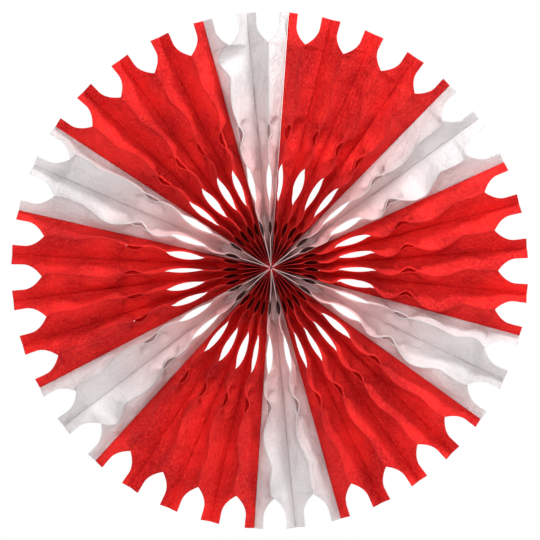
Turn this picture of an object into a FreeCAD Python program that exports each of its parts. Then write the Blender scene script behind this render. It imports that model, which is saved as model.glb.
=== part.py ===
import FreeCAD, Part
import math
import os
import Sketcher

# Paper fan medallion: a die-cut tissue fan opened to a full circle and hung upright.
# Leaves of tissue radiate from the hub. Scalloped front edges are glued in pairs at their
# lobes as crests, straight back edges are glued in pairs as valleys, and two stiff cards
# stand side by side where the fan closes.
# Frame: the disc stands in the XZ plane, its front faces -Y, Z is up, and the origin is
# on the hub's axis at mid depth. Lengths are millimetres.

SIZES = [
    ("fan_radius", 317.5, "hub axis to the tip of a rim tab"),
    ("leaf_width", 45, "crest to back edge of a leaf, so the depth of the medallion"),
    ("inner_radius", 6, "hub axis to the inner end of the leaves"),
    ("leaf_pairs", 36, "crests round the circle"),
    ("closure_angle", 86, "direction of the valley where the fan closes, from +X towards +Z"),
    ("sheet_breadth", 0.4, "sideways breadth of a leaf, a stand-in for thin tissue"),
    ("glue_depth", 3, "most depth of a glued edge"),
    ("slot_centre", 49, "inner ring of slots: radius of the deepest cut"),
    ("slot_length", 21, "inner ring of slots: length along the radius"),
    ("slot_keep", 0.65, "inner ring of slots: share of the leaf left"),
    ("hole_centre", 105, "ring of open holes: radius of the deepest cut"),
    ("hole_length", 47, "ring of open holes: length along the radius"),
    ("hole_keep", 0.48, "ring of open holes: share of the leaf left"),
    ("slit_centre", 168, "outer ring of slits: radius of the deepest cut"),
    ("slit_length", 21, "outer ring of slits: length along the radius"),
    ("slit_keep", 0.85, "outer ring of slits: share of the leaf left"),
    ("scallop_centre", 240, "glued scallop: radius of its hollow"),
    ("scallop_length", 54, "glued scallop: length along the radius"),
    ("scallop_keep", 0.92, "glued scallop: share of the leaf left"),
    ("notch_bottom", 278, "rim notch: radius of its point"),
    ("tab_start", 303, "rim tab: radius where its sides run straight"),
    ("tab_keep", 0.43, "rim tab: share of the leaf left"),
    ("tab_corner", 2, "rim tab: size of its eased corner"),
    ("lobe_swing", 0.35, "sideways swing of a crest's lobes, as a share of half its spread"),
    ("rim_swing", 0.15, "the same for the outermost lobe, beside the rim notch"),
    ("thread_radius", 10, "hub thread: radius of its loop"),
    ("thread_diameter", 0.8, "hub thread: its own thickness"),
    ("thread_clearance", 0.3, "room left round the thread in its punched holes"),
    ("card_thickness", 0.6, "closing card: thickness"),
    ("card_depth", 14, "closing card: from its back edge towards the front"),
    ("card_inner", 20, "closing card: radius of its inner end"),
    ("card_outer", 314, "closing card: radius of its outer end"),
    ("card_corner", 5, "closing card: corner radius"),
]
COLOUR_ORDER = ["red", "red", "red", "red", "white", "white"]
THREAD_SIDES = 6
# Facets along a short cut, along a long one and along the flare of a rim notch.
SHORT_CUT_STEPS = 2
LONG_CUT_STEPS = 4
NOTCH_STEPS = 3

doc = FreeCAD.newDocument("paper_fan_medallion")
sheet = doc.addObject("Spreadsheet::Sheet", "sizes")
for row, (alias, value, meaning) in enumerate(SIZES, start=1):
    sheet.set(f"A{row}", meaning)
    sheet.set(f"B{row}", str(value))
    sheet.setAlias(f"B{row}", alias)
doc.recompute()


def size(alias):
    """The value of one driving dimension."""
    return float(sheet.get(alias))


PAIRS = int(round(size("leaf_pairs")))
HALF_PITCH = math.pi / PAIRS
BACK = size("leaf_width") / 2
CUTS = [
    (size(name + "_centre"), size(name + "_length"), size(name + "_keep"), steps, glued)
    for name, steps, glued in (
        ("slot", SHORT_CUT_STEPS, False),
        ("hole", LONG_CUT_STEPS, False),
        ("slit", SHORT_CUT_STEPS, False),
        ("scallop", LONG_CUT_STEPS, True),
    )
]


def lobe_radii():
    """Middle of each lobe between one cut and the next, from the hub outwards."""
    ends = [(centre - length / 2, centre + length / 2) for centre, length, *_ in CUTS]
    return [(end + start) / 2 for (_, end), (start, _) in zip(ends, ends[1:])]


def kept_share(radius):
    """Share of the leaf's width that the die leaves at a radius, and whether it is glued there."""
    if radius > size("notch_bottom"):
        reach = size("tab_start") - size("notch_bottom")
        flare = max(0.0, (size("tab_start") - radius) / reach) ** 2
        return size("tab_keep") + (1 - size("tab_keep")) * flare, False
    for centre, length, keep, _, glued in CUTS:
        offset = (radius - centre) / (length / 2)
        if abs(offset) >= 1:
            continue
        depth = math.cos(math.pi / 2 * offset) ** 2 if glued else 1 - offset**2
        return 1 - (1 - keep) * depth, glued
    return 1.0, True


def crest_swing(radius):
    """Sideways swing of the crest as a share of its half spread: none in a cut, full at a lobe."""
    hollows = [centre for centre, *_ in CUTS]
    last_lobe = size("scallop_centre") + size("scallop_length") / 2
    knots = [(size("inner_radius"), 0.0)]
    for hollow, lobe in zip(hollows, lobe_radii()):
        knots += [(hollow, 0.0), (lobe, size("lobe_swing"))]
    knots += [(hollows[-1], 0.0), (last_lobe, size("rim_swing"))]
    knots += [(size("notch_bottom"), 0.0), (size("fan_radius"), 0.0)]
    for (start, low), (end, high) in zip(knots, knots[1:]):
        if start <= radius <= end:
            share = (1 - math.cos(math.pi * (radius - start) / (end - start))) / 2
            return low + (high - low) * share
    return 0.0


def edge_radii():
    """Radii of the points of the die-cut edge, from the hub to the rim."""
    radii = [size("inner_radius")] + lobe_radii()
    for centre, length, _, steps, _ in CUTS:
        radii += [centre + length * (step / steps - 0.5) for step in range(steps + 1)]
    reach = size("tab_start") - size("notch_bottom")
    radii += [size("notch_bottom") + reach * step / NOTCH_STEPS for step in range(NOTCH_STEPS + 1)]
    radii += [size("fan_radius") - size("tab_corner"), size("fan_radius")]
    return sorted(set(radii))


def back_radii(beside_card):
    """Radii of the points of the straight back edge: its ends, the hollows and the rim tab's foot."""
    hollows = [centre for centre, *_ in CUTS]
    radii = [size("inner_radius")] + hollows + [size("notch_bottom"), size("tab_start")]
    return sorted(radii + [size("fan_radius")] + [size("card_inner")] * beside_card)


def half_spread(radius):
    """Sideways distance from a back edge to the middle plane of its pair."""
    return radius * math.tan(HALF_PITCH)


def glued_depth(radius):
    """Depth of the mitred, glued edge of a leaf, which keeps the sheet's breadth."""
    slope = half_spread(radius) / size("leaf_width")
    return min(size("glue_depth"), size("sheet_breadth") / slope)


def back_point(radius, side, beside_card):
    """Point of the straight back edge of the leaf on one side (1 or -1) of the crest."""
    along = FreeCAD.Vector(side * math.sin(HALF_PITCH), 0, math.cos(HALF_PITCH))
    across = FreeCAD.Vector(-side * math.cos(HALF_PITCH), 0, math.sin(HALF_PITCH))
    inset = 0.0
    if beside_card:
        spread = (radius - size("inner_radius")) / (size("card_inner") - size("inner_radius"))
        inset = size("card_thickness") * min(spread, 1.0)
    return along * radius + across * inset + FreeCAD.Vector(0, BACK, 0)


def crest_point(radius):
    """Point where both leaves of a pair would meet at a radius, on their glued edge."""
    share, glued = kept_share(radius)
    width = size("leaf_width") * (share if glued else 1.0)
    swing = crest_swing(radius) * half_spread(radius)
    reach = half_spread(radius) + swing
    depth = math.sqrt(max(width**2 - reach**2, 0.0)) - glued_depth(radius)
    return FreeCAD.Vector(swing, BACK - depth, radius / math.cos(HALF_PITCH))


def edge_point(radius, side, beside_card):
    """Point of the die-cut front edge of a leaf: on the crest, or short of it at a cut."""
    share, glued = kept_share(radius)
    if radius >= size("fan_radius"):
        share -= size("tab_corner") / size("leaf_width")
    start, end = back_point(radius, side, beside_card), crest_point(radius)
    return end if glued else start + (end - start) * share


def strip(back, front):
    """Triangles between two chains of (radius, point), each running from hub to rim.

    The back chain steps first, so each stretch of the front meets a back point beyond it. Seen
    from the front no triangle folds over another, so the leaf's two surfaces never cross.
    """
    triangles, i, j = [], 0, 0
    while i < len(back) - 1 or j < len(front) - 1:
        take_back = j == len(front) - 1 or (i < len(back) - 1 and back[i][0] <= front[j][0])
        tip = back[i + 1] if take_back else front[j + 1]
        triangles.append((back[i][1], front[j][1], tip[1]))
        i, j = (i + 1, j) if take_back else (i, j + 1)
    return triangles


def flat_face(points):
    """One flat face through points in order."""
    return Part.Face(Part.makePolygon(list(points) + [points[0]]))


def leaf(side, beside_card):
    """One leaf: a sheet from its straight back edge to its die-cut edge, mitred where it is glued."""
    back = [(radius, back_point(radius, side, beside_card)) for radius in back_radii(beside_card)]
    front = [(radius, edge_point(radius, side, beside_card)) for radius in edge_radii()]

    def ahead(chain):
        return [(radius, point - FreeCAD.Vector(0, glued_depth(radius), 0)) for radius, point in chain]

    faces = [flat_face(triangle) for triangle in strip(back, front)]
    faces += [flat_face(triangle) for triangle in strip(ahead(back), ahead(front))]
    for near, far in ((back, ahead(back)), (front, ahead(front))):
        for (_, a), (_, b), (_, c), (_, d) in zip(near, near[1:], far[1:], far):
            faces.append(flat_face([a, b, c, d]))
    for end in (0, -1):
        faces.append(flat_face([back[end][1], front[end][1], ahead(front)[end][1], ahead(back)[end][1]]))
    solid = Part.Solid(Part.Shell(faces))
    if solid.Volume < 0:
        solid.reverse()
    return solid


def leaf_pattern(name, side, beside_card=False):
    """A leaf punched for the hub thread, as a document object."""
    blank = doc.addObject("Part::Feature", name + "_blank")
    blank.Shape = leaf(side, beside_card)
    hole = doc.addObject("Part::Box", name + "_thread_hole")
    hole.setExpression("Length", "2 * sizes.leaf_width")
    for side_length in ("Width", "Height"):
        hole.setExpression(side_length, "sizes.thread_diameter + sizes.thread_clearance")
    hole.setExpression("Placement.Base.x", "-sizes.leaf_width")
    hole.setExpression("Placement.Base.y", "-(sizes.thread_diameter + sizes.thread_clearance) / 2")
    hole.setExpression(
        "Placement.Base.z",
        "sizes.thread_radius - (sizes.thread_diameter + sizes.thread_clearance) / 2",
    )
    punched = doc.addObject("Part::Cut", name)
    punched.Base, punched.Tool = blank, hole
    return punched


def turned(degrees_clockwise):
    """Placement that turns a piece about the hub's axis, clockwise as seen from the front."""
    return FreeCAD.Placement(
        FreeCAD.Vector(), FreeCAD.Rotation(FreeCAD.Vector(0, 1, 0), degrees_clockwise)
    )


def closing_card(name, on_left):
    """One of the two stiff cards that stand side by side in the plane of the closing valley."""
    body = doc.addObject("PartDesign::Body", name)
    outline = body.newObject("Sketcher::SketchObject", name + "_outline")
    plane = next(item for item in body.Origin.OriginFeatures if item.Role == "YZ_Plane")
    outline.AttachmentSupport = [(plane, "")]
    outline.MapMode = "FlatFace"
    corner, front, back = size("card_corner"), BACK - size("card_depth"), BACK
    inner, outer = size("card_inner"), size("card_outer")
    centres = [
        (back - corner, inner + corner),
        (back - corner, outer - corner),
        (front + corner, outer - corner),
        (front + corner, inner + corner),
    ]
    arcs = []
    for quarter, (across, up) in enumerate(centres):
        circle = Part.Circle(FreeCAD.Vector(across, up, 0), FreeCAD.Vector(0, 0, 1), corner)
        turn = math.pi / 2
        arcs.append(Part.ArcOfCircle(circle, (quarter - 1) * turn, quarter * turn))
    outline.addGeometry(arcs)
    for arc, following in zip(arcs, arcs[1:] + arcs[:1]):
        outline.addGeometry(Part.LineSegment(arc.EndPoint, following.StartPoint))
    for index in range(4):
        line, following = 4 + index, (index + 1) % 4
        outline.addConstraint(Sketcher.Constraint("Tangent", index, 2, line, 1))
        outline.addConstraint(Sketcher.Constraint("Tangent", line, 2, following, 1))
        upright = "Vertical" if index % 2 == 0 else "Horizontal"
        outline.addConstraint(Sketcher.Constraint(upright, line))
        if index:
            outline.addConstraint(Sketcher.Constraint("Equal", 0, index))
    bound = [
        (Sketcher.Constraint("Radius", 0, corner), "sizes.card_corner"),
        (Sketcher.Constraint("DistanceX", -1, 1, 4, 1, back), "sizes.leaf_width / 2"),
        (Sketcher.Constraint("DistanceX", 6, 1, 4, 1, back - front), "sizes.card_depth"),
        (Sketcher.Constraint("DistanceY", -1, 1, 7, 1, inner), "sizes.card_inner"),
        (Sketcher.Constraint("DistanceY", -1, 1, 5, 1, outer), "sizes.card_outer"),
    ]
    for constraint, expression in bound:
        index = outline.addConstraint(constraint)
        outline.setExpression(f"Constraints[{index}]", expression)
    card = body.newObject("PartDesign::Pad", name + "_sheet")
    card.Profile = outline
    card.Reversed = on_left
    card.setExpression("Length", "sizes.card_thickness")
    body.Placement = turned(90 - size("closure_angle"))
    return body


def leaf_pair(name, leaves, turn):
    """Two leaves glued along one crest, turned to their place round the hub."""
    pair = doc.addObject("Part::Feature", name)
    pair.Shape = Part.makeCompound([solid for item in leaves for solid in item.Shape.Solids])
    pair.Placement = turned(turn)
    return pair


def hub_thread():
    """Thread drawn round the hub through every leaf, straight from pair to pair."""
    thickness = size("thread_diameter") / 2
    rings = []
    for turn in range(PAIRS):
        place = turned(math.degrees(2 * HALF_PITCH) * turn)
        section = []
        for corner in range(THREAD_SIDES):
            angle = 2 * math.pi * corner / THREAD_SIDES
            out = size("thread_radius") + thickness * math.cos(angle)
            section.append(place.multVec(FreeCAD.Vector(0, thickness * math.sin(angle), out)))
        rings.append(section)
    faces = []
    for ring, following in zip(rings, rings[1:] + rings[:1]):
        for corner in range(THREAD_SIDES):
            past = (corner + 1) % THREAD_SIDES
            faces.append(flat_face([ring[corner], ring[past], following[past], following[corner]]))
    solid = Part.Solid(Part.Shell(faces))
    if solid.Volume < 0:
        solid.reverse()
    thread = doc.addObject("Part::Feature", "hub_thread")
    thread.Shape = solid
    return thread


def build():
    """Make every piece and return the objects that are written out."""
    right, left = leaf_pattern("right_leaf", 1), leaf_pattern("left_leaf", -1)
    last_right = leaf_pattern("right_leaf_on_card", 1, beside_card=True)
    first_left = leaf_pattern("left_leaf_on_card", -1, beside_card=True)
    pieces = [
        closing_card("closing_card_red", on_left=False),
        closing_card("closing_card_white", on_left=True),
        hub_thread(),
    ]
    doc.recompute()
    pitch = math.degrees(2 * HALF_PITCH)
    counts = {"red": 0, "white": 0}
    for index in range(PAIRS):
        colour = COLOUR_ORDER[index % len(COLOUR_ORDER)]
        counts[colour] += 1
        name = f"{colour}_leaf_pair_{counts[colour]:02d}"
        leaves = (last_right if index == PAIRS - 1 else right, first_left if index == 0 else left)
        turn = 90 - size("closure_angle") + pitch * (index + 0.5)
        pieces.append(leaf_pair(name, leaves, turn))
    return pieces


pieces = build()
doc.recompute()
for item in doc.Objects:
    if "Invalid" in item.State or "Error" in item.State:
        raise RuntimeError(f"{item.Label} failed: {item.State}")
for piece in pieces:
    solids = 2 if "pair" in piece.Label else 1
    if piece.Shape.isNull() or not piece.Shape.isValid() or len(piece.Shape.Solids) != solids:
        raise RuntimeError(f"{piece.Label} isn't {solids} valid solid(s)")

os.makedirs("parts", exist_ok=True)
for piece in pieces:
    piece.Shape.exportStep(f"parts/{piece.Label}.step")
print(len(pieces), "pieces written")
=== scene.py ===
import logging
import math
from dataclasses import dataclass, field
from enum import Enum

import bmesh
import bpy
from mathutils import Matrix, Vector, noise


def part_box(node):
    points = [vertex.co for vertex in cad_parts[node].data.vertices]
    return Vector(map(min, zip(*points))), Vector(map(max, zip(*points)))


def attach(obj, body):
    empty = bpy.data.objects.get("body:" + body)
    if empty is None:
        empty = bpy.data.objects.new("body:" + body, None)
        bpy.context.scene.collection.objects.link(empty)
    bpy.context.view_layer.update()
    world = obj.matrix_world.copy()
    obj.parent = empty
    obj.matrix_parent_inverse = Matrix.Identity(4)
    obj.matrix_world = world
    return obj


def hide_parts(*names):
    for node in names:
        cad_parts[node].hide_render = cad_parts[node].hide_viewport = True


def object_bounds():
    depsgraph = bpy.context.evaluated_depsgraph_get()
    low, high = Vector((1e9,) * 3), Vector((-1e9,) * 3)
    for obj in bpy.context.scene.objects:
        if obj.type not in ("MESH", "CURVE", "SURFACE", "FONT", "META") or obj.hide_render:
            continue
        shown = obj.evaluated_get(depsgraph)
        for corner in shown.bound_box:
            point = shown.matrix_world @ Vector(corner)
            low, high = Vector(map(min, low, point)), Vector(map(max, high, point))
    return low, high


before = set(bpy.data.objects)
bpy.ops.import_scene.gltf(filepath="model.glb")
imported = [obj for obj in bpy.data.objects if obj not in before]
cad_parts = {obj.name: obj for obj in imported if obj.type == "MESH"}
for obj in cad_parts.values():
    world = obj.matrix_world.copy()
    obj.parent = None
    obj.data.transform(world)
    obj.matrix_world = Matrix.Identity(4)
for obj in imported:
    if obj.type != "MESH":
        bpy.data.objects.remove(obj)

# Paper fan medallion: tissue leaves glued into crests and valleys round a hub, hung upright.
# The front faces -Y. Every wavy crest is at the front, every straight valley at the back.

CAD_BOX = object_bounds()
LOG = logging.getLogger("medallion")
MM = 0.001
CARD_THICKNESS = 0.6 * MM


class Tint(Enum):
    """Colours of tissue in the fan."""

    RED = "red"
    WHITE = "white"


@dataclass(frozen=True)
class Cut:
    """One opening that the die makes in the front edge of every leaf.

    Args:
        centre: radius of its middle, in metres.
        length: its extent along the radius, in metres.
        keep: share of the leaf's width that is left at its middle.
        gap: sideways opening at its middle, as a share of the spread of the pair.
        touch: share of the width where the two leaves bow in until they touch behind the
            opening, or 0 where it stays open right through.
        glued: True where both leaves stay glued along the cut edge.
        ease: how far the bow runs on beyond the cut, in half lengths of the cut.
    """

    centre: float
    length: float
    keep: float
    gap: float
    touch: float = 0.0
    glued: bool = False
    ease: float = 0.9

    def depth(self, radius: float) -> float:
        """Share of the cut's full depth at a radius.

        Args:
            radius: distance from the hub, in metres.

        Returns:
            0 outside the cut, 1 at its middle.
        """
        offset = (radius - self.centre) / (self.length / 2)
        if abs(offset) >= 1:
            return 0.0
        return math.cos(math.pi / 2 * offset) ** 2 if self.glued else 1 - offset**2

    def bow(self, radius: float) -> float:
        """Share of the full inward bow behind the cut at a radius.

        Args:
            radius: distance from the hub, in metres.

        Returns:
            1 along the cut, easing to 0 beyond its ends.
        """
        beyond = (abs(radius - self.centre) / (self.length / 2) - 1) / self.ease
        return (1 + math.cos(math.pi * min(max(beyond, 0.0), 1.0))) / 2


@dataclass(frozen=True)
class LeafShape:
    """Die-cut outline of one leaf, in metres from the hub and from the back edge.

    Args:
        rim: radius of the tips of its tabs.
        width: distance from its back edge to its front edge.
        inner: radius of its inner end.
        slot: cut nearest the hub.
        hole: cut that stays open right through.
        slit: short cut halfway out.
        scallop: glued hollow between the outer lobes.
        lobes: radii where the crest swings furthest between one cut and the next.
        loosening: how much faster the glue's hold ends inside a cut than the cut deepens.
        notch: radius of the point of the rim notch.
        notch_ease: length over which the glue ends inside the notch.
        tab_start: radius where the tab's side runs straight.
        tab_keep: share of the width that the tab has.
        tab_corner: radius of the tab's corner.
        cut_rows: rows of mesh across each cut.
        plain_rows: rows of mesh before each cut.
        rim_rows: rows beside the scallop, along the notch's flare, the tab and its corner.
        across: steps of mesh from the back edge to the front edge.
    """

    rim: float
    width: float
    inner: float = 1.0 * MM
    slot: Cut = Cut(49 * MM, 21 * MM, 0.65, 0.6, touch=0.25)
    hole: Cut = Cut(105 * MM, 47 * MM, 0.48, 0.4)
    slit: Cut = Cut(168 * MM, 21 * MM, 0.85, 0.16, touch=0.5)
    scallop: Cut = Cut(240 * MM, 54 * MM, 0.92, 0.0, glued=True)
    lobes: tuple[float, ...] = (70 * MM, 144 * MM, 203 * MM, 264 * MM)
    loosening: float = 4.0
    notch: float = 278 * MM
    notch_ease: float = 4 * MM
    tab_start: float = 303 * MM
    tab_keep: float = 0.43
    tab_corner: float = 2 * MM
    cut_rows: tuple[int, ...] = (9, 20, 9, 14)
    plain_rows: tuple[int, ...] = (9, 8, 7, 9)
    rim_rows: tuple[int, ...] = (5, 12, 3, 4)
    across: int = 20

    @property
    def cuts(self) -> tuple[Cut, ...]:
        """The cuts from the hub outwards."""
        return (self.slot, self.hole, self.slit, self.scallop)

    def stations(self) -> list[float]:
        """Radii of the rows of the leaf's mesh.

        Returns:
            Radii from the hub to the rim, closer together where the edge bends more.
        """
        ends, counts = [self.inner], []
        for cut, plain, within in zip(self.cuts, self.plain_rows, self.cut_rows):
            ends += [cut.centre - cut.length / 2, cut.centre + cut.length / 2]
            counts += [plain, within]
        ends += [self.notch, self.tab_start, self.rim - self.tab_corner, self.rim]
        rows = []
        for start, end, steps in zip(ends, ends[1:], counts + list(self.rim_rows)):
            rows += [start + (end - start) * step / steps for step in range(steps)]
        return rows + [self.rim]

    def edge(self, radius: float) -> tuple[float, float, float]:
        """The front edge at a radius.

        Args:
            radius: distance from the hub, in metres.

        Returns:
            The leaf's width there, the sideways gap in the pair as a share of its spread, and
            how firmly the edge is glued, from 0 to 1.
        """
        if radius > self.notch:
            flare = max(0.0, (self.tab_start - radius) / (self.tab_start - self.notch)) ** 2
            share = self.tab_keep + (1 - self.tab_keep) * flare
            corner = max(0.0, radius - self.rim + self.tab_corner)
            ease = self.tab_corner - math.sqrt(max(self.tab_corner**2 - corner**2, 0.0))
            return self.width * share - ease, 1 - share, 0.0
        share, gap, bond = 1.0, 0.0, 1.0
        for cut in self.cuts:
            depth = cut.depth(radius)
            share -= (1 - cut.keep) * depth
            gap += cut.gap * depth
            if not cut.glued:
                bond -= min(1.0, self.loosening * depth)
        bond *= min(1.0, (self.notch - radius) / self.notch_ease)
        return self.width * share, gap, max(bond, 0.0)


@dataclass(frozen=True)
class Crest:
    """Where one pair's crest runs, in degrees clockwise from straight up, read from the photograph.

    Args:
        valley: direction of the valley before it.
        notch: direction of its rim notch.
        hole: direction of the middle of its open hole.
        opening: angle that the open hole spans.
        swing: how far its lobes swing clockwise.
        slit: how wide its slit stands open against the usual one.
        rim: how far the lobe beside the rim notch swings clockwise.
    """

    valley: float
    notch: float
    hole: float
    opening: float
    swing: float = 2.0
    slit: float = 1.0
    rim: float = 0.4


def eased(knots: list[tuple[float, float, bool]], at: float) -> float:
    """Smooth curve through knots.

    Args:
        knots: (place, value, cusp) in order of place.
        at: place to read.

    Returns:
        The value there. The curve is level at a plain knot and comes to a point at a cusp.
    """
    if at <= knots[0][0]:
        return knots[0][1]
    for (start, low, from_cusp), (end, high, to_cusp) in zip(knots, knots[1:]):
        if at > end:
            continue
        part = (at - start) / (end - start)
        share = (1 - math.cos(math.pi * part)) / 2
        if from_cusp:
            share = (share + math.sin(math.pi / 2 * part)) / 2
        elif to_cusp:
            share = (share + 1 - math.cos(math.pi / 2 * part)) / 2
        return low + (high - low) * share
    return knots[-1][1]


@dataclass(frozen=True)
class CardStock:
    """Sizes of a stiff closing card, in metres.

    Args:
        depth: how far it comes forward from its back edge.
        thickness: how thick it is.
        inner: radius of its inner end.
        outer: radius of its outer end.
        ease: length over which the leaf comes to lie on it, as a share of the inner radius.
        corner: radius of its front corners.
        corner_steps: facets round one corner.
    """

    depth: float
    thickness: float
    inner: float
    outer: float
    ease: float = 0.25
    corner: float = 5.0 * MM
    corner_steps: int = 6


@dataclass(frozen=True)
class LeafRow:
    """Cross-section of one leaf at one radius, in metres.

    Args:
        width: length of the paper from the back edge to the front edge.
        seam: length glued flat at the back.
        strip: length glued flat at the front.
        start: how far aside of the valley the leaf stands.
        reach: how far aside the front edge is.
        rise: how far forward the free part comes.
        bulge: how far the middle bows aside.
        lip_least: least length of the foremost step of mesh, as a share of the width.
    """

    width: float
    seam: float
    strip: float
    start: float
    reach: float
    rise: float
    bulge: float
    lip_least: float = 0.04

    @property
    def body(self) -> float:
        """Length of the free part."""
        return self.width - self.seam - self.strip

    @property
    def full(self) -> float:
        """How far forward the front edge comes."""
        return self.seam + self.rise + self.strip

    def runs(self, steps: int) -> list[float]:
        """Places of the mesh's vertices along the paper.

        Args:
            steps: steps of mesh from the back edge to the front edge.

        Returns:
            Lengths from the back edge, with one at the end of each glued part.
        """
        lip = max(self.strip, self.lip_least * self.width)
        free = (self.width - self.seam - lip) / (steps - 2)
        return [0.0] + [self.seam + free * step for step in range(steps - 1)] + [self.width]

    def part(self, run: float) -> float:
        """Share of the free part behind a place.

        Args:
            run: length from the back edge.

        Returns:
            0 in the seam, 1 in the front strip.
        """
        return min(max((run - self.seam) / self.body, 0.0), 1.0)

    def forward(self, run: float) -> float:
        """How far forward of the back edge a place lies.

        Args:
            run: length from the back edge.

        Returns:
            The distance.
        """
        beyond = max(run - self.seam - self.body, 0.0)
        return min(run, self.seam) + self.rise * self.part(run) + beyond

    def aside(self, run: float) -> float:
        """How far aside of the valley a place lies.

        Args:
            run: length from the back edge.

        Returns:
            The distance.
        """
        part = self.part(run)
        straight = self.start + (self.reach - self.start) * part
        return straight + self.bulge * math.sin(math.pi * part)

    def reach_at(self, share: float, least: float) -> float:
        """How far aside the leaf would be without its bulge.

        Args:
            share: the depth, as a share of the way to the front edge.
            least: smallest rise to count with.

        Returns:
            The distance, from 0 to the reach.
        """
        along = (share * self.full - self.seam) / max(self.rise, least)
        return min(max(along, 0.0), 1.0) * self.reach


@dataclass(frozen=True)
class Unevenness:
    """How unevenly the tissue falls, by noise that each pair's number shifts.

    Args:
        height: size of the crumples, in metres.
        crumples: crumples to the metre.
        folds: scale of the broad folds against the crumples.
        creases: scale of the small creases against the crumples.
        crease_height: height of the small creases against the crumples.
        calm: spread of a pair below which its crumples shrink, in metres.
        shifts: shifts of the crumples' noise from pair to pair and from leaf to leaf.
        waves: bulges to the metre.
        wave_height: how strongly the bulges vary.
        lean: how strongly both leaves tend to bulge anticlockwise.
        wave_shifts: shifts of the bulges' noise from pair to pair and from leaf to leaf.
    """

    height: float = 1.1 * MM
    crumples: float = 55.0
    folds: float = 0.45
    creases: float = 2.7
    crease_height: float = 0.45
    calm: float = 16 * MM
    shifts: tuple[float, float] = (5.7, 11.9)
    waves: float = 22.0
    wave_height: float = 2.6
    lean: float = 0.35
    wave_shifts: tuple[float, float] = (7.3, 3.1)

    def crumpled(self, radius: float, run: float, seed: int, side: int) -> float:
        """Size of the crumples at a place of a leaf.

        Args:
            radius: distance from the hub, in metres.
            run: length from the back edge, in metres.
            seed: the pair's number.
            side: 0 for the anticlockwise leaf, 1 for the other.

        Returns:
            The distance aside, in metres.
        """
        shift = seed * self.shifts[0] + side * self.shifts[1]
        spot = Vector((radius * self.crumples, run * self.crumples, shift))
        rough = noise.noise(spot * self.folds) + noise.noise(spot)
        return self.height * (rough + self.crease_height * noise.noise(spot * self.creases))

    def wave(self, radius: float, seed: int, side: int) -> float:
        """Share of the possible bulge that a leaf has at a radius.

        Args:
            radius: distance from the hub, in metres.
            seed: the pair's number.
            side: 0 for the anticlockwise leaf, 1 for the other.

        Returns:
            The share, from -1 to 1.
        """
        shift = seed * self.wave_shifts[0] + side * self.wave_shifts[1]
        height = self.wave_height * noise.noise(Vector((radius * self.waves, shift, 0.5)))
        return max(-1.0, min(1.0, height + (self.lean if side else -self.lean)))


def linked(form: bmesh.types.BMesh, name: str, smooth: bool = False) -> bpy.types.Object:
    """Turn a finished form into an object of the scene.

    Args:
        form: the form, which is freed.
        name: name of the object.
        smooth: True for soft shading.

    Returns:
        The object, at the origin.
    """
    mesh = bpy.data.meshes.new(name)
    form.to_mesh(mesh)
    form.free()
    if smooth:
        mesh.shade_smooth()
    piece = bpy.data.objects.new(name, mesh)
    bpy.context.collection.objects.link(piece)
    return piece


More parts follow.
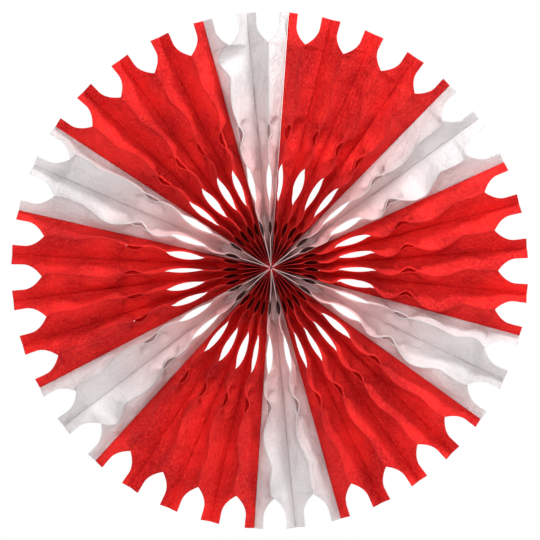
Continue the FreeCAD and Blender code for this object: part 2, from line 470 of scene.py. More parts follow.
@dataclass
class LeafPair:
    """Two leaves glued along one crest, between two valleys.

    Args:
        node: CAD node that the pair replaces.
        shape: outline of its leaves.
        hub: where the valleys meet, in the XZ plane.
        crest: where its crest and the valley before it run.
        end: direction of the valley after it, in degrees clockwise from straight up.
        seed: number that sets its crumples.
        card: closing card that an end leaf is glued to.
        card_side: side whose leaf is glued to a closing card, if one is.
        sheet: thickness of the tissue.
        seam: length of each leaf glued flat along the valley.
        strip: length of each leaf glued flat along the crest.
        waist: radius inside which the thread draws the leaves in.
        uneven: how unevenly the tissue falls.
        sag: share of the slack paper that shows as a bulge.
        arch: height of an arch against the root of its length times its slack.
        bulge_most: most that a leaf bulges.
        bulge_share: most that a leaf bulges, as a share of its reach.
        card_share: most of a leaf's width that is glued to a card.
        card_touch: the cuts' touch in the pairs beside the cards.
        touch_length: how long the bow behind a cut is, as a share of the depth.
        touch_past: how far past the crest's line they meet, as a share of its distance.
        bow_ease: how soon beside its glued ends a leaf bows in fully.
        rough_ease: how soon beside its glued ends a leaf crumples fully.
        short: how far the front edge stays short of the crest's line, in sheets.
        short_glued: how much further it stays short where it is glued, in sheets.
        least_reach: least reach of a leaf, as a share of the spread.
        strip_most: most of a leaf's width that is glued along the crest.
        slot_swing: share of its swing that the crest has beside the slot.
        first_swing: share of its swing that its first lobe has.
        hole_turn: where the crest turns, as a share of the hole's length.
        margin: least share of the spread between the crest and a valley.
    """

    node: str
    shape: LeafShape
    hub: Vector
    crest: Crest
    end: float
    seed: int
    card: CardStock
    card_side: int | None = None
    sheet: float = 0.28 * MM
    seam: float = 0.6 * MM
    strip: float = 2.0 * MM
    waist: float = 14 * MM
    uneven: Unevenness = Unevenness()
    sag: float = 0.6
    arch: float = 0.64
    bulge_most: float = 4.0 * MM
    bulge_share: float = 0.22
    card_share: float = 0.45
    card_touch: float = 0.5
    touch_length: float = 0.2
    touch_past: float = 0.02
    bow_ease: float = 4.0
    rough_ease: float = 3.0
    short: float = 0.2
    short_glued: float = 0.3
    least_reach: float = 0.02
    strip_most: float = 0.2
    slot_swing: float = 0.4
    first_swing: float = 1.1
    hole_turn: float = 0.4
    margin: float = 0.06

    def crest_at(self, radius: float) -> float:
        """Sideways place of the crest.

        Args:
            radius: distance from the hub, in metres.

        Returns:
            The place, as a share of the spread from the valley before it.
        """
        shape, crest = self.shape, self.crest
        first, second, third, last = shape.lobes
        hole, turn = shape.hole.centre, self.hole_turn * shape.hole.length
        knots = [
            (shape.inner, (crest.valley + self.end) / 2, False),
            (shape.slot.centre, crest.hole + self.slot_swing * crest.swing, True),
            (first, crest.hole + self.first_swing * crest.swing, False),
            (hole - turn, crest.hole, True),
            (hole + turn, crest.hole, True),
            (second, crest.hole + crest.swing, False),
            (shape.slit.centre, (crest.hole + crest.notch) / 2, True),
            (third, crest.notch + crest.swing, False),
            (shape.scallop.centre, crest.notch, True),
            (last, crest.notch + crest.rim, False),
            (shape.notch, crest.notch, True),
        ]
        place = (eased(knots, radius) - crest.valley) / (self.end - crest.valley)
        return min(max(place, self.margin), 1 - self.margin)

    def valley_point(self, clockwise: float, radius: float) -> Vector:
        """Point of a valley line, scaled so that every tab ends on the rim.

        Args:
            clockwise: direction of the valley, in degrees clockwise from straight up.
            radius: distance from the hub, in metres.

        Returns:
            The point, in the XZ plane.
        """
        way = Vector((math.sin(math.radians(clockwise)), math.cos(math.radians(clockwise))))
        along = self.hub.dot(way)
        reach = -along + math.sqrt(along**2 - self.hub.length_squared + self.shape.rim**2)
        return self.hub + way * (radius * reach / self.shape.rim)

    def glued_back(self, radius: float, side: int, width: float) -> tuple[float, float]:
        """How a leaf is held along its back edge.

        Args:
            radius: distance from the hub, in metres.
            side: 0 for the anticlockwise leaf, 1 for the other.
            width: the leaf's width there, in metres.

        Returns:
            How far from its back edge it lies flat, and how far aside of the valley.
        """
        if side != self.card_side:
            return self.seam, self.sheet * 0.5
        card = self.card
        along = min(max(radius / card.inner - 1, 0.0) / card.ease, 1.0)
        held = min(card.depth, self.card_share * width)
        return self.seam + (held - self.seam) * along, self.sheet * 0.5 + card.thickness * along

    def row(self, radius: float, side: int, spread: float, place: float) -> LeafRow:
        """Work out how a leaf stands at one radius.

        Args:
            radius: distance from the hub, in metres.
            side: 0 for the anticlockwise leaf, 1 for the other.
            spread: distance between the two valleys, in metres.
            place: sideways place of the crest, as a share of the spread from the leaf's valley.

        Returns:
            The leaf's cross-section.
        """
        shape, crest = self.shape, self.crest
        width, gap, bond = shape.edge(radius)
        if shape.hole.depth(radius):
            gap = crest.opening / (self.end - crest.valley) * shape.hole.depth(radius)
        elif shape.slit.depth(radius):
            gap *= crest.slit
        reach = (place - gap / 2) * spread if radius < shape.notch else (1 - gap) * 0.5 * spread
        firm = min(2 * bond, 1.0)
        reach -= self.sheet * (self.short + self.short_glued * firm)
        reach = max(reach, self.least_reach * spread)
        strip = min(self.strip, self.strip_most * width) * firm
        seam, start = self.glued_back(radius, side, width)
        body = width - seam - strip
        crests = []
        for leaf, share in ((side, place), (1 - side, 1 - place)):
            held = self.glued_back(radius, leaf, width)[0]
            span = (width - held - strip) ** 2 - (share * spread) ** 2
            crests.append(held + math.sqrt(max(span, 0.0)))
        rise = math.sqrt(max(body**2 - reach**2, 0.0))
        rise += (min(crests) - seam - rise) * firm
        slack = max(body - math.hypot(reach, rise), 0.0) * self.sag
        bulge = min(self.arch * math.sqrt(slack * body), self.bulge_share * reach, self.bulge_most)
        bulge *= self.uneven.wave(radius, self.seed, side)
        return LeafRow(width, seam, strip, start, reach, rise, bulge)

    def bowed_in(self, row: LeafRow, run: float, radius: float, crest: float) -> float:
        """How far a leaf bows in behind the cuts, until it touches the other leaf.

        Args:
            row: the leaf's cross-section.
            run: length from the back edge, in metres.
            radius: distance from the hub, in metres.
            crest: distance from the leaf's valley to the crest, in metres.

        Returns:
            The extra distance aside.
        """
        total = 0.0
        for cut in (self.shape.slot, self.shape.slit):
            touch = cut.touch if self.card_side is None else self.card_touch
            meeting = crest * (1 + self.touch_past) + self.sheet
            inward = max(meeting - row.reach_at(touch, self.sheet), 0.0) * cut.bow(radius)
            level = (row.forward(run) / row.full - touch) / self.touch_length
            total += inward * math.exp(-(level**2))
        return total

    def section(self, radius: float, side: int) -> list[Vector]:
        """One row of a leaf: points from its back edge to its front edge.

        Args:
            radius: distance from the hub, in metres.
            side: 0 for the anticlockwise leaf, 1 for the other.

        Returns:
            Points in the frame, in metres.
        """
        near = self.valley_point(self.crest.valley, radius)
        far = self.valley_point(self.end, radius)
        place = self.crest_at(radius)
        if side:
            near, far, place = far, near, 1 - place
        spread = (far - near).length
        across = (far - near).normalized()
        row = self.row(radius, side, spread, place)
        calm = min(1.0, spread / self.uneven.calm)
        waist = max(0.0, 1 - radius / self.waist)
        points = []
        for run in row.runs(self.shape.across):
            deep = row.forward(run)
            arch = math.sin(math.pi * row.part(run))
            aside = row.aside(run)
            bow = self.bowed_in(row, run, radius, place * spread)
            rough = self.uneven.crumpled(radius, run, self.seed, side) * calm
            aside += bow * min(1.0, self.bow_ease * arch)
            aside += rough * min(1.0, self.rough_ease * arch)
            middle = 1 - (2 * deep / self.shape.width - 1) ** 2
            flat = self.hub + (near + across * aside - self.hub) * (1 - waist * middle)
            points.append(Vector((flat.x, self.shape.width / 2 - deep, flat.y)))
        return points

    def build(self) -> bpy.types.Object:
        """Make the pair's mesh.

        Returns:
            The object, at the origin. Its faces know which of them face the inside of the pair.
        """
        form = bmesh.new()
        chart = form.loops.layers.uv.new("leaf")
        inside = form.faces.layers.float.new("inside")
        rim = self.shape.rim
        across = self.valley_point(self.end, rim) - self.valley_point(self.crest.valley, rim)
        for side, inward in ((0, across), (1, -across)):
            leaf = self.leaf(form, chart, side)
            bmesh.ops.recalc_face_normals(form, faces=leaf)
            for face in leaf:
                towards = face.normal.x * inward.x + face.normal.z * inward.y
                face[inside] = 1.0 if towards > 0 else 0.0
        return linked(form, self.node + "_tissue", smooth=True)

    def leaf(
        self, form: bmesh.types.BMesh, chart: bmesh.types.BMLayerItem, side: int
    ) -> list[bmesh.types.BMFace]:
        """Add one leaf to the mesh.

        Args:
            form: mesh to add to.
            chart: layer that takes each corner's share of the radius and of the width.
            side: 0 for the anticlockwise leaf, 1 for the other.

        Returns:
            The leaf's faces, both skins and the edge between them.
        """
        rows = self.shape.stations()
        others = set(form.faces)
        grid = bmesh.ops.create_grid(
            form, x_segments=len(rows) - 1, y_segments=self.shape.across, size=1.0
        )
        sections = [self.section(radius, side) for radius in rows]
        for vert in grid["verts"]:
            row = round((vert.co.x + 1) / 2 * (len(rows) - 1))
            step = round((vert.co.y + 1) / 2 * self.shape.across)
            vert.co = sections[row][step]
            for loop in vert.link_loops:
                loop[chart].uv = (rows[row] / self.shape.rim, step / self.shape.across)
        form.normal_update()
        skin = [face for face in form.faces if face not in others]
        for vert, shift in [(vert, vert.normal * self.sheet / 2) for vert in grid["verts"]]:
            vert.co += shift
        bmesh.ops.solidify(form, geom=skin, thickness=self.sheet)
        return [face for face in form.faces if face not in others]


@dataclass
class ClosingCard:
    """Stiff card along the closing valley, glued to the end leaf on its side.

    Args:
        node: CAD node that the card replaces.
        pair: the end pair beside it.
        way: 1 where it lies clockwise of the closing valley, -1 where anticlockwise.
    """

    node: str
    pair: LeafPair
    way: int

    def outline(self) -> list[tuple[float, float]]:
        """Outline of the card.

        Returns:
            Its corners as (radius, distance from the back edge), in metres.
        """
        card = self.pair.card
        points = [(card.inner, 0.0), (card.outer, 0.0)]
        for middle, first in (
            (card.outer - card.corner, 0.0),
            (card.inner + card.corner, math.pi / 2),
        ):
            for step in range(card.corner_steps + 1):
                turn = first + math.pi / 2 * step / card.corner_steps
                radius = middle + card.corner * math.cos(turn)
                points.append((radius, card.depth - card.corner * (1 - math.sin(turn))))
        return points

    def build(self) -> bpy.types.Object:
        """Make the card's mesh.

        Returns:
            The object, at the origin.
        """
        shape, form = self.pair.shape, bmesh.new()
        chart = form.loops.layers.uv.new("leaf")
        clockwise = self.pair.crest.valley if self.way > 0 else self.pair.end
        hub = self.pair.valley_point(clockwise, 0.0)
        along = (self.pair.valley_point(clockwise, shape.rim) - hub).normalized()
        aside = Vector((along.y, 0.0, -along.x)) * self.way * self.pair.card.thickness
        verts = []
        for radius, deep in self.outline():
            flat = self.pair.valley_point(clockwise, radius)
            verts.append(form.verts.new((flat.x, shape.width / 2 - deep, flat.y)))
        face = form.faces.new(verts)
        for loop, (radius, deep) in zip(face.loops, self.outline()):
            loop[chart].uv = (radius / shape.rim, deep / shape.width)
        raised = bmesh.ops.extrude_face_region(form, geom=[face], use_keep_orig=True)
        lifted = [item for item in raised["geom"] if isinstance(item, bmesh.types.BMVert)]
        bmesh.ops.translate(form, verts=lifted, vec=aside)
        bmesh.ops.recalc_face_normals(form, faces=form.faces)
        return linked(form, self.node + "_sheet")


@dataclass(frozen=True)
class PaperFinish:
    """Matt paper. Tissue lets some light through, card and thread let none.

    Args:
        name: name of the material.
        body: its usual colour.
        thin: colour where the fibres are thin.
        dense: colour where the fibres bunch.
        deep: painted shade towards the hub: the colour down in the crowded pleats, where little
            light gets in; on white paper it is pinkish, a painted glow of light from the red
            leaves.
        reach: share of the fan's radius over which the deep painted shade fades out.
        edge: how far the front edge of a leaf stays clear of the painted shade, from 0 to 1, as
            painted light on the crests that stand forward.
        let_through: share of light that passes.
        glow: tint of that light.
        relief: height of the wrinkles, in metres.
        bump: how strongly they show.
        roughness: how matt it is.
        gloss: how strongly it mirrors.
    """

    name: str
    body: tuple[float, float, float]
    thin: tuple[float, float, float]
    dense: tuple[float, float, float]
    deep: tuple[float, float, float]
    reach: float = 0.2
    edge: float = 0.1
    let_through: float = 0.0
    glow: tuple[float, float, float] = (1.0, 1.0, 1.0)
    relief: float = 0.2 * MM
    bump: float = 0.6
    roughness: float = 0.85
    gloss: float = 0.18

    def build(self, fibres: bpy.types.ShaderNodeTree) -> bpy.types.Material:
        """Make the material.

        Args:
            fibres: node group that gives the fibres' colour and relief.

        Returns:
            The material.
        """
        material = bpy.data.materials.new(self.name)
        material.use_nodes = True
        nodes, links = material.node_tree.nodes, material.node_tree.links
        shader = nodes["Principled BSDF"]
        shader.inputs["Roughness"].default_value = self.roughness
        shader.inputs["Specular IOR Level"].default_value = self.gloss
        place = nodes.new("ShaderNodeTexCoord")
        paper = nodes.new("ShaderNodeGroup")
        paper.node_tree = fibres
        # Deep is painted shade towards the hub, and on white paper a painted pink glow of light
        # from the red leaves.
        for socket in ("Body", "Thin", "Dense", "Deep"):
            paper.inputs[socket].default_value = (*getattr(self, socket.lower()), 1.0)
        paper.inputs["Reach"].default_value = self.reach
        paper.inputs["Edge"].default_value = self.edge
        bump = nodes.new("ShaderNodeBump")
        bump.inputs["Strength"].default_value = self.bump
        bump.inputs["Distance"].default_value = self.relief
        links.new(place.outputs["Object"], paper.inputs["Place"])
        links.new(place.outputs["UV"], paper.inputs["Leaf"])
        inside = nodes.new("ShaderNodeAttribute")
        inside.attribute_name = "inside"
        links.new(inside.outputs["Fac"], paper.inputs["Inside"])
        links.new(paper.outputs["Color"], shader.inputs["Base Color"])
        links.new(paper.outputs["Relief"], bump.inputs["Height"])
        links.new(bump.outputs["Normal"], shader.inputs["Normal"])
        if self.let_through:
            glow = nodes.new("ShaderNodeBsdfTranslucent")
            glow.inputs["Color"].default_value = (*self.glow, 1.0)
            mix = nodes.new("ShaderNodeMixShader")
            mix.inputs["Fac"].default_value = self.let_through
            links.new(shader.outputs["BSDF"], mix.inputs[1])
            links.new(glow.outputs["BSDF"], mix.inputs[2])
            links.new(mix.outputs["Shader"], nodes["Material Output"].inputs["Surface"])
        return material


@dataclass
class FibreGroup:
    """Node group shared by every paper: soft clouds, fine grain, wrinkles, and painted shade in the
    depths beside the hub and behind the slots.

    Args:
        slot_end: outer end of the slots beside the hub, as a share of the fan's radius.
        pocket_shade: painted shade inside a pair of leaves, behind those slots, where little light
            gets in.
        fade: share of the radius over which that painted shade fades out.
        cloud_scale: clouds to the metre.
        wrinkle_scale: wrinkles to the metre.
        grain_scale: grains to the metre.
        detail: how many finer layers each noise has.
        swirl: how far the wrinkles are distorted.
        clouds: values of the noise where clouds begin and are full.
        grains: values of the noise where grains begin and are full.
        grain_most: how strongly the grains show.
        grain_height: height of the grains against the wrinkles.
        hub_share: share of the radius inside which only the deep painted shade shows.
        lip: share of the width where the front edge begins, which is kept clear of the painted
            shade as painted light on the crests.
        mouth: share of the width where the painted shade behind the slots begins to fade.
    """

    slot_end: float
    pocket_shade: tuple[float, float, float] = (0.07, 0.010, 0.010)
    fade: float = 0.05
    cloud_scale: float = 18.0
    wrinkle_scale: float = 75.0
    grain_scale: float = 340.0
    detail: float = 4.0
    swirl: float = 1.2
    clouds: tuple[float, float] = (0.36, 0.62)
    grains: tuple[float, float] = (0.42, 0.72)
    grain_most: float = 0.6
    grain_height: float = 0.12
    hub_share: float = 0.02
    lip: float = 0.86
    mouth: float = 0.9

    def noise_node(self, tree: bpy.types.ShaderNodeTree, scale: float) -> bpy.types.ShaderNode:
        """Add one noise texture.

        Args:
            tree: the group.
            scale: repeats to the metre.

        Returns:
            The node.
        """
        node = tree.nodes.new("ShaderNodeTexNoise")
        node.inputs["Scale"].default_value = scale
        node.inputs["Detail"].default_value = self.detail
        return node

    def range_node(
        self, tree: bpy.types.ShaderNodeTree, low: float, high: float, most: float = 1.0
    ) -> bpy.types.ShaderNode:
        """Add one node that stretches a band of values.

        Args:
            tree: the group.
            low: value that becomes 0.
            high: value that becomes the limit.
            most: the limit.

        Returns:
            The node.
        """
        node = tree.nodes.new("ShaderNodeMapRange")
        node.inputs["From Min"].default_value = low
        node.inputs["From Max"].default_value = high
        node.inputs["To Max"].default_value = most
        return node

    def build(self) -> bpy.types.ShaderNodeTree:
        """Make the group.

        Returns:
            The group, with places and colours in, Color and Relief out.
        """
        tree = bpy.data.node_groups.new("paper_fibres", "ShaderNodeTree")
        for way, kind, names in (
            ("INPUT", "Vector", ("Place", "Leaf")),
            ("INPUT", "Color", ("Body", "Thin", "Dense", "Deep")),
            ("INPUT", "Float", ("Reach", "Edge", "Inside")),
            ("OUTPUT", "Color", ("Color",)),
            ("OUTPUT", "Float", ("Relief",)),
        ):
            for name in names:
                tree.interface.new_socket(name, in_out=way, socket_type="NodeSocket" + kind)
        links = tree.links
        given, result = tree.nodes.new("NodeGroupInput"), tree.nodes.new("NodeGroupOutput")
        cloud = self.noise_node(tree, self.cloud_scale)
        wrinkle = self.noise_node(tree, self.wrinkle_scale)
        wrinkle.inputs["Distortion"].default_value = self.swirl
        grain = self.noise_node(tree, self.grain_scale)
        for texture in (cloud, wrinkle, grain):
            links.new(given.outputs["Place"], texture.inputs["Vector"])
        soft = self.range_node(tree, *self.clouds)
        crisp = self.range_node(tree, *self.grains, self.grain_most)
        links.new(cloud.outputs["Fac"], soft.inputs["Value"])
        links.new(grain.outputs["Fac"], crisp.inputs["Value"])
        axes = tree.nodes.new("ShaderNodeSeparateXYZ")
        links.new(given.outputs["Leaf"], axes.inputs["Vector"])
        # Painted shade: the deep colour darkens the paper towards the hub, where the crowded pleats
        # let little light in, and the front edges of the crests are kept lighter as painted light.
        outward = self.range_node(tree, self.hub_share, 1.0)
        outward.interpolation_type = "SMOOTHSTEP"
        links.new(axes.outputs["X"], outward.inputs["Value"])
        links.new(given.outputs["Reach"], outward.inputs["From Max"])
        forward = self.range_node(tree, self.lip, 1.0)
        links.new(axes.outputs["Y"], forward.inputs["Value"])
        links.new(given.outputs["Edge"], forward.inputs["To Max"])
        light = tree.nodes.new("ShaderNodeMath")
        light.use_clamp = True
        links.new(outward.outputs["Result"], light.inputs[0])
        links.new(forward.outputs["Result"], light.inputs[1])
        colour = given.outputs["Dense"]
        for band, name in ((soft, "Body"), (crisp, "Thin")):
            mix = tree.nodes.new("ShaderNodeMix")
            mix.data_type = "RGBA"
            links.new(band.outputs["Result"], mix.inputs["Factor"])
            links.new(colour, mix.inputs["A"])
            links.new(given.outputs[name], mix.inputs["B"])
            colour = mix.outputs["Result"]
        tint = tree.nodes.new("ShaderNodeMix")
        tint.data_type = "RGBA"
        links.new(light.outputs["Value"], tint.inputs["Factor"])
        links.new(given.outputs["Deep"], tint.inputs["A"])
        links.new(colour, tint.inputs["B"])
        # Painted shade: the inside faces of each pair, behind the slots beside the hub, take a
        # near-black painted shade, where little light gets in.
        crowded = self.range_node(tree, self.slot_end + self.fade, self.slot_end)
        links.new(axes.outputs["X"], crowded.inputs["Value"])
        behind = self.range_node(tree, 1.0, self.mouth)
        links.new(axes.outputs["Y"], behind.inputs["Value"])
        links.new(given.outputs["Inside"], behind.inputs["To Max"])
        within = tree.nodes.new("ShaderNodeMath")
        within.operation = "MULTIPLY"
        links.new(crowded.outputs["Result"], within.inputs[0])
        links.new(behind.outputs["Result"], within.inputs[1])
        dark = tree.nodes.new("ShaderNodeMix")
        dark.data_type = "RGBA"
        dark.inputs["B"].default_value = (*self.pocket_shade, 1.0)
        links.new(within.outputs["Value"], dark.inputs["Factor"])
        links.new(tint.outputs["Result"], dark.inputs["A"])
        links.new(dark.outputs["Result"], result.inputs["Color"])
        height = tree.nodes.new("ShaderNodeMath")
        height.operation = "MULTIPLY_ADD"
        height.inputs[1].default_value = self.grain_height
        links.new(grain.outputs["Fac"], height.inputs[0])
        links.new(wrinkle.outputs["Fac"], height.inputs[2])
        links.new(height.outputs["Value"], result.inputs["Relief"])
        return tree


@dataclass
class Medallion:
    """The whole fan: 36 pairs of leaves round one hub.

    Args:
        shape: outline of every leaf.
        card: sizes of the closing cards.
        hub: where the valleys meet, in the XZ plane.
        order: tints of neighbouring pairs, clockwise.
        crests: every pair's crest, clockwise from the closing valley.
    """

    shape: LeafShape
    card: CardStock
    hub: Vector = field(default_factory=lambda: Vector((1.6 * MM, 3.0 * MM)))
    order: tuple[Tint, ...] = (Tint.RED,) * 4 + (Tint.WHITE,) * 2
    crests: tuple[Crest, ...] = (
        Crest(4.0, 8.0, 5.8, 4.0, 1.0, 1.6),
        Crest(13.6, 18.5, 18.4, 6.0),
        Crest(23.8, 28.8, 30.0, 4.0),
        Crest(34.6, 39.0, 39.8, 3.9),
        Crest(44.4, 49.7, 49.7, 2.7),
        Crest(54.3, 60.5, 60.6, 4.6, 4.8),
        Crest(65.6, 70.3, 71.5, 4.4, 3.0),
        Crest(75.4, 80.3, 81.0, 3.5, 3.5),
        Crest(85.6, 90.3, 91.0, 3.0, 2.5),
        Crest(95.8, 100.5, 100.2, 4.6, 4.5),
        Crest(105.2, 110.5, 109.9, 2.7, -1.0, rim=-1.5),
        Crest(115.7, 121.0, 120.6, 4.3, 3.6),
        Crest(125.8, 130.8, 131.2, 4.4),
        Crest(135.5, 140.3, 141.3, 3.0),
        Crest(145.1, 150.0, 150.8, 3.5),
        Crest(154.8, 159.7, 160.0, 3.0),
        Crest(164.4, 169.2, 169.1, 3.2),
        Crest(174.6, 179.8, 181.0, 4.0, 2.6),
        Crest(183.7, 189.2, 190.3, 3.0),
        Crest(193.6, 198.5, 198.9, 4.8),
        Crest(203.1, 208.5, 208.8, 4.6),
        Crest(212.7, 217.8, 218.2, 4.0),
        Crest(222.3, 227.0, 228.1, 3.2, -1.6, rim=-2.4),
        Crest(232.7, 238.5, 239.5, 4.0),
        Crest(242.6, 247.8, 248.8, 4.0),
        Crest(252.7, 258.0, 258.0, 4.4, 1.0),
        Crest(262.8, 268.2, 268.4, 2.7, -1.2),
        Crest(273.0, 278.2, 278.2, 4.8),
        Crest(282.9, 288.5, 288.6, 3.5, -3.0),
        Crest(293.5, 300.0, 300.4, 4.2, 1.2),
        Crest(303.3, 308.3, 308.7, 3.7),
        Crest(313.4, 318.5, 318.5, 5.0),
        Crest(323.9, 329.0, 328.7, 4.6),
        Crest(334.2, 339.3, 338.0, 4.4),
        Crest(344.6, 348.0, 346.9, 4.0, -1.5, rim=-2.3),
        Crest(354.6, 359.3, 358.8, 3.5, 0.0, rim=0.0),
    )

    def pairs(self) -> list[tuple[Tint, LeafPair]]:
        """The pairs clockwise from the closing valley.

        Returns:
            Each pair with its tint.
        """
        counts = {Tint.RED: 0, Tint.WHITE: 0}
        made = []
        ends = [crest.valley for crest in self.crests[1:]] + [self.crests[0].valley + 360]
        for index, (crest, end) in enumerate(zip(self.crests, ends)):
            tint = self.order[index % len(self.order)]
            counts[tint] += 1
            node = f"{tint.value}_leaf_pair_{counts[tint]:02d}"
            pair = LeafPair(node, self.shape, self.hub, crest, end, index, self.card)
            pair.card_side = {0: 0, len(ends) - 1: 1}.get(index)
            made.append((tint, pair))
        return made


@dataclass(frozen=True)
class Studio:
    """White surroundings, soft light and the camera.

    Args:
        rim: radius of the fan, in metres.
        picture: side of the photograph, in pixels.
        rim_pixels: radius of the fan in it, in pixels.
        centre_pixels: its middle from the left and from the top, in pixels.
        distance: how far the camera stands in front, in metres.
        clearance: how far the floor lies below the fan, in metres.
        floor_reach: how far the floor reaches from its middle, in metres.
        floor_grey: its colour in the light that it throws back.
        daylight: strength of the light from all round.
        sensor: width of the camera's sensor, in millimetres.
    """

    rim: float
    picture: float = 540.0
    rim_pixels: float = 258.0
    centre_pixels: tuple[float, float] = (269.7, 270.4)
    distance: float = 2.6
    clearance: float = 0.12
    floor_reach: float = 4.0
    floor_grey: float = 0.8
    daylight: float = 0.5
    sensor: float = 36.0

    def floor(self) -> None:
        """Make the pale floor, white where the camera sees it."""
        white = bpy.data.materials.new("studio_white")
        white.use_nodes = True
        nodes, links = white.node_tree.nodes, white.node_tree.links
        matt = nodes["Principled BSDF"]
        matt.inputs["Base Color"].default_value = (*[self.floor_grey] * 3, 1)
        matt.inputs["Roughness"].default_value = 0.9
        shine = nodes.new("ShaderNodeEmission")
        path = nodes.new("ShaderNodeLightPath")
        seen = nodes.new("ShaderNodeMath")
        seen.operation = "MAXIMUM"
        mix = nodes.new("ShaderNodeMixShader")
        links.new(path.outputs["Is Camera Ray"], seen.inputs[0])
        links.new(path.outputs["Is Glossy Ray"], seen.inputs[1])
        links.new(seen.outputs["Value"], mix.inputs["Fac"])
        links.new(matt.outputs["BSDF"], mix.inputs[1])
        links.new(shine.outputs["Emission"], mix.inputs[2])
        links.new(mix.outputs["Shader"], nodes["Material Output"].inputs["Surface"])
        form = bmesh.new()
        bmesh.ops.create_grid(form, x_segments=1, y_segments=1, size=self.floor_reach)
        plane = linked(form, "floor")
        plane.location.z = -self.rim - self.clearance
        plane.data.materials.append(white)

    def lamp(self, name: str, spot: tuple[float, float, float], size: float, power: float) -> None:
        """Add one soft lamp that points at the fan.

        Args:
            name: name of the lamp.
            spot: where it stands, in metres.
            size: side of its square, in metres.
            power: watts.
        """
        light = bpy.data.lights.new(name, "AREA")
        light.size = size
        light.energy = power
        lamp = bpy.data.objects.new(name, light)
        lamp.location = spot
        lamp.rotation_euler = (-Vector(spot)).to_track_quat("-Z", "Y").to_euler()
        bpy.context.collection.objects.link(lamp)

    def light(self) -> None:
        """Light the fan from above, from in front and behind, and softly all round."""
        self.lamp("key", (0.9, -1.1, 1.7), size=0.6, power=47)
        self.lamp("fill", (-0.3, -2.9, 0.5), size=1.5, power=56)
        self.lamp("glow", (0.3, 2.2, 0.8), size=2.0, power=24)
        world = bpy.data.worlds.new("room")
        bpy.context.scene.world = world
        world.use_nodes = True
        nodes, links = world.node_tree.nodes, world.node_tree.links
        nodes["Background"].inputs["Color"].default_value = (1, 1, 1, 1)
        nodes["Background"].inputs["Strength"].default_value = self.daylight
        white = nodes.new("ShaderNodeBackground")
        path = nodes.new("ShaderNodeLightPath")
        mix = nodes.new("ShaderNodeMixShader")
        white.inputs["Color"].default_value = (1, 1, 1, 1)
        links.new(path.outputs["Is Camera Ray"], mix.inputs["Fac"])
        links.new(nodes["Background"].outputs["Background"], mix.inputs[1])
        links.new(white.outputs["Background"], mix.inputs[2])
        links.new(mix.outputs["Shader"], nodes["World Output"].inputs["Surface"])

    def camera(self) -> None:
        """Stand the camera straight in front, framed as the photograph is."""
        back = CAD_BOX[1][1]
        metres = self.rim / self.rim_pixels
        across, down = self.centre_pixels
        data = bpy.data.cameras.new("camera")
        data.sensor_width = self.sensor
        data.lens = self.sensor * (self.distance + back) / (self.picture * metres)
        camera = bpy.data.objects.new("camera", data)
        camera.location = (
            (self.picture / 2 - across) * metres,
            -self.distance,
            (down - self.picture / 2) * metres,
        )
        camera.rotation_euler = (math.pi / 2, 0, 0)
        bpy.context.collection.objects.link(camera)
        bpy.context.scene.camera = camera
        bpy.context.scene.view_settings.view_transform = "Standard"


RED_TISSUE = PaperFinish(
    name="red_tissue_paper",
    body=(0.76, 0.022, 0.024),
    thin=(0.95, 0.07, 0.04),
    dense=(0.42, 0.007, 0.014),
    # painted shade towards the hub
    deep=(0.26, 0.006, 0.009),
    reach=0.19,
    let_through=0.4,
    glow=(0.90, 0.05, 0.035),
    relief=4.5 * MM,
)
WHITE_TISSUE = PaperFinish(
    name="white_tissue_paper",
    body=(0.73, 0.715, 0.72),
    thin=(0.82, 0.82, 0.83),
    dense=(0.56, 0.54, 0.54),
    # painted shade towards the hub, tinted pink as a painted glow of light from the red leaves
    deep=(0.92, 0.45, 0.44),
    reach=0.85,
    edge=0.3,
    let_through=0.46,
    glow=(0.84, 0.79, 0.79),
    relief=4.5 * MM,
)
RED_CARD = PaperFinish(
    name="red_card_stock",
    body=(0.50, 0.010, 0.014),
    thin=(0.56, 0.014, 0.018),
    dense=(0.44, 0.008, 0.012),
    # painted shade towards the hub
    deep=(0.30, 0.006, 0.008),
)
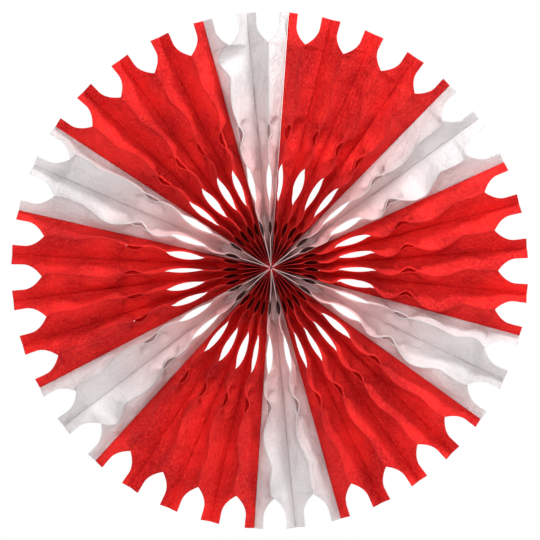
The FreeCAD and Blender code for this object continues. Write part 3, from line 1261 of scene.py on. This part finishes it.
WHITE_CARD = PaperFinish(
    name="white_card_stock",
    body=(0.72, 0.70, 0.69),
    thin=(0.78, 0.76, 0.75),
    dense=(0.66, 0.64, 0.62),
    # painted shade towards the hub, tinted pink by painted light from the red leaves
    deep=(0.50, 0.36, 0.34),
)
THREAD = PaperFinish(
    name="twisted_thread",
    body=(0.62, 0.60, 0.57),
    thin=(0.70, 0.68, 0.64),
    dense=(0.50, 0.47, 0.44),
    deep=(0.50, 0.47, 0.44),
)


def stand_in(piece: bpy.types.Object, node: str, material: bpy.types.Material) -> None:
    """Let a piece take the place of a CAD node.

    Args:
        piece: the object.
        node: the node that it replaces.
        material: its finish.
    """
    piece.data.materials.append(material)
    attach(piece, "root")
    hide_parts(node)
    LOG.info("%s built", piece.name)


def dress_node(name: str, material: bpy.types.Material) -> None:
    """Give a CAD piece its material.

    Args:
        name: the piece's node.
        material: its finish.
    """
    piece = bpy.data.objects[name]
    piece.data.materials.clear()
    piece.data.materials.append(material)


def main() -> None:
    """Build the medallion and its studio."""
    logging.basicConfig(level=logging.INFO, format="%(name)s: %(message)s")
    low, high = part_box("red_leaf_pair_07")
    shape = LeafShape(rim=(CAD_BOX[1][0] - CAD_BOX[0][0]) / 2, width=high[1] - low[1])
    studio = Studio(shape.rim)
    studio.camera()
    studio.floor()
    studio.light()
    fibres = FibreGroup((shape.slot.centre + shape.slot.length / 2) / shape.rim).build()
    tissue = {Tint.RED: RED_TISSUE.build(fibres), Tint.WHITE: WHITE_TISSUE.build(fibres)}
    low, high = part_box("closing_card_red")
    card = CardStock(high[1] - low[1], CARD_THICKNESS, inner=low[2], outer=high[2])
    pairs = Medallion(shape, card).pairs()
    for tint, pair in pairs:
        stand_in(pair.build(), pair.node, tissue[tint])
    for (_, pair), tint, way, finish in (
        (pairs[0], Tint.RED, 1, RED_CARD),
        (pairs[-1], Tint.WHITE, -1, WHITE_CARD),
    ):
        sheet = ClosingCard(f"closing_card_{tint.value}", pair, way)
        stand_in(sheet.build(), sheet.node, finish.build(fibres))
    dress_node("hub_thread", THREAD.build(fibres))


if __name__ == "__main__":
    main()
